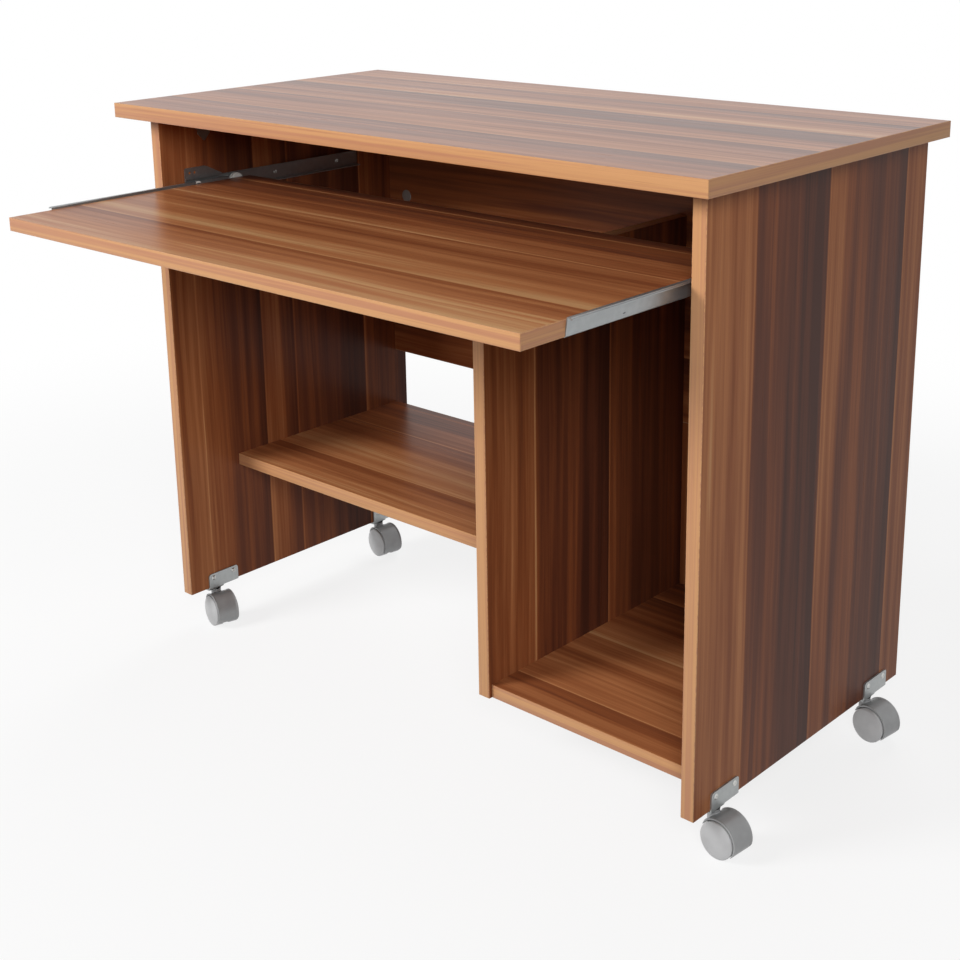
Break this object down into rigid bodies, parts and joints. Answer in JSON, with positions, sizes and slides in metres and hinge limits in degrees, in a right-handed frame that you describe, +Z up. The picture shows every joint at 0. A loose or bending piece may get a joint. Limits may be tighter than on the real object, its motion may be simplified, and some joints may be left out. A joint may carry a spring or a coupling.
{
  "type": "writing desk",
  "caption": "Mobile writing desk of wood-grain boards on castors, with a keyboard tray that slides on roller slides, an open computer bay and a low shelf.",
  "frame": {"origin": "on the floor, under the middle of the box round the desk with its keyboard tray pulled out", "axes": "+X to the right of a person sitting at the desk, +Y from that person to the back, +Z up"},
  "size_m": [0.9111, 0.651, 0.726],
  "materials": {
    "laminate": "satin wood-grain laminate",
    "edging": "satin edging",
    "slide_steel": "satin coated",
    "roller_nylon": "moulded",
    "zinc": "zinc plated",
    "plate_steel": "zinc plated",
    "cap_plastic": "moulded",
    "washer_plastic": "moulded",
    "castor_plastic": "satin silver",
    "disc_plastic": "satin silver"
  },
  "bodies": {
    "frame": {"tabletop": "laminate", "left_side": "laminate", "right_side": "laminate", "partition": "laminate", "upper_back": "laminate", "bay_back": "laminate", "shelf": "laminate", "bay_floor": "laminate", "tabletop_edging": "edging", "left_side_edging": "edging", "right_side_edging": "edging", "partition_edging": "edging", "upper_back_edging": "edging", "bay_back_edging": "edging", "shelf_edging": "edging", "bay_floor_edging": "edging", "left_cabinet_rail": "slide_steel", "right_cabinet_rail": "slide_steel", "front_roller_pins": "zinc", "cabinet_rail_screws": "zinc", "castor_plate_screws": "zinc", "castor_stems": "zinc", "castor_washers": "washer_plastic", "cam_locks": "zinc", "cam_caps": "cap_plastic", "cam_bolts": "zinc", "angle_brackets": "plate_steel", "angle_screws": "zinc", "back_screws": "zinc", "right_front_castor_plate": "plate_steel", "right_rear_castor_plate": "plate_steel", "left_front_castor_plate": "plate_steel", "left_rear_castor_plate": "plate_steel"},
    "tray": {"keyboard_tray": "laminate", "keyboard_tray_edging": "edging", "left_tray_rail": "slide_steel", "right_tray_rail": "slide_steel", "rear_roller_pins": "zinc", "tray_rail_screws": "zinc"},
    "left_front_roller": {"left_front_roller": "roller_nylon"},
    "left_rear_roller": {"left_rear_roller": "roller_nylon"},
    "right_front_roller": {"right_front_roller": "roller_nylon"},
    "right_rear_roller": {"right_rear_roller": "roller_nylon"},
    "right_front_castor": {"right_front_castor_hood": "castor_plastic", "right_front_castor_axle": "zinc"},
    "right_front_castor_left_wheel": {"right_front_castor_left_wheel": "disc_plastic"},
    "right_front_castor_right_wheel": {"right_front_castor_right_wheel": "disc_plastic"},
    "right_rear_castor": {"right_rear_castor_hood": "castor_plastic", "right_rear_castor_axle": "zinc"},
    "right_rear_castor_left_wheel": {"right_rear_castor_left_wheel": "disc_plastic"},
    "right_rear_castor_right_wheel": {"right_rear_castor_right_wheel": "disc_plastic"},
    "left_front_castor": {"left_front_castor_hood": "castor_plastic", "left_front_castor_axle": "zinc"},
    "left_front_castor_left_wheel": {"left_front_castor_left_wheel": "disc_plastic"},
    "left_front_castor_right_wheel": {"left_front_castor_right_wheel": "disc_plastic"},
    "left_rear_castor": {"left_rear_castor_hood": "castor_plastic", "left_rear_castor_axle": "zinc"},
    "left_rear_castor_left_wheel": {"left_rear_castor_left_wheel": "disc_plastic"},
    "left_rear_castor_right_wheel": {"left_rear_castor_right_wheel": "disc_plastic"}
  },
  "joints": [
    {"name": "tray_slide", "type": "slide", "parent": "frame", "child": "tray", "axis": [0, 1, 0], "range_m": [-0.021, 0.204]},
    {"name": "left_front_roller_spin", "type": "hinge", "parent": "frame", "child": "left_front_roller", "pos_m": [-0.401, -0.0485, 0.61205], "axis": [1, 0, 0], "continuous": true},
    {"name": "left_rear_roller_spin", "type": "hinge", "parent": "tray", "child": "left_rear_roller", "pos_m": [-0.402, 0.0155, 0.61325], "axis": [1, 0, 0], "continuous": true},
    {"name": "right_front_roller_spin", "type": "hinge", "parent": "frame", "child": "right_front_roller", "pos_m": [0.401, -0.0485, 0.61205], "axis": [1, 0, 0], "continuous": true},
    {"name": "right_rear_roller_spin", "type": "hinge", "parent": "tray", "child": "right_rear_roller", "pos_m": [0.402, 0.0155, 0.61325], "axis": [1, 0, 0], "continuous": true},
    {"name": "right_front_castor_swivel", "type": "hinge", "parent": "frame", "child": "right_front_castor", "pos_m": [0.419, -0.0515, 0.0475], "axis": [0, 0, 1], "continuous": true},
    {"name": "right_front_castor_left_wheel_spin", "type": "hinge", "parent": "right_front_castor", "child": "right_front_castor_left_wheel", "pos_m": [0.43545, -0.05285, 0.021], "axis": [0.0819, 0.9966, 0], "continuous": true},
    {"name": "right_front_castor_right_wheel_spin", "type": "hinge", "parent": "right_front_castor", "child": "right_front_castor_right_wheel", "pos_m": [0.43545, -0.05285, 0.021], "axis": [0.0819, 0.9966, 0], "continuous": true},
    {"name": "right_rear_castor_swivel", "type": "hinge", "parent": "frame", "child": "right_rear_castor", "pos_m": [0.419, 0.2615, 0.0475], "axis": [0, 0, 1], "continuous": true},
    {"name": "right_rear_castor_left_wheel_spin", "type": "hinge", "parent": "right_rear_castor", "child": "right_rear_castor_left_wheel", "pos_m": [0.43539, 0.25963, 0.021], "axis": [0.1132, 0.9936, 0], "continuous": true},
    {"name": "right_rear_castor_right_wheel_spin", "type": "hinge", "parent": "right_rear_castor", "child": "right_rear_castor_right_wheel", "pos_m": [0.43539, 0.25963, 0.021], "axis": [0.1132, 0.9936, 0], "continuous": true},
    {"name": "left_front_castor_swivel", "type": "hinge", "parent": "frame", "child": "left_front_castor", "pos_m": [-0.415, -0.0515, 0.0475], "axis": [0, 0, 1], "continuous": true},
    {"name": "left_front_castor_left_wheel_spin", "type": "hinge", "parent": "left_front_castor", "child": "left_front_castor_left_wheel", "pos_m": [-0.399, -0.05555, 0.021], "axis": [0.2453, 0.9694, 0], "continuous": true},
    {"name": "left_front_castor_right_wheel_spin", "type": "hinge", "parent": "left_front_castor", "child": "left_front_castor_right_wheel", "pos_m": [-0.399, -0.05555, 0.021], "axis": [0.2453, 0.9694, 0], "continuous": true},
    {"name": "left_rear_castor_swivel", "type": "hinge", "parent": "frame", "child": "left_rear_castor", "pos_m": [-0.415, 0.2615, 0.0475], "axis": [0, 0, 1], "continuous": true},
    {"name": "left_rear_castor_left_wheel_spin", "type": "hinge", "parent": "left_rear_castor", "child": "left_rear_castor_left_wheel", "pos_m": [-0.39875, 0.25864, 0.021], "axis": [0.1736, 0.9848, 0], "continuous": true},
    {"name": "left_rear_castor_right_wheel_spin", "type": "hinge", "parent": "left_rear_castor", "child": "left_rear_castor_right_wheel", "pos_m": [-0.39875, 0.25864, 0.021], "axis": [0.1736, 0.9848, 0], "continuous": true}
  ],
  "couplings": [
    {"joint": "left_front_roller_spin", "follows": "tray_slide", "rad_per_m": -124.22},
    {"joint": "left_rear_roller_spin", "follows": "tray_slide", "rad_per_m": -108.11},
    {"joint": "right_front_roller_spin", "follows": "tray_slide", "rad_per_m": -124.22},
    {"joint": "right_rear_roller_spin", "follows": "tray_slide", "rad_per_m": -108.11}
  ]
}
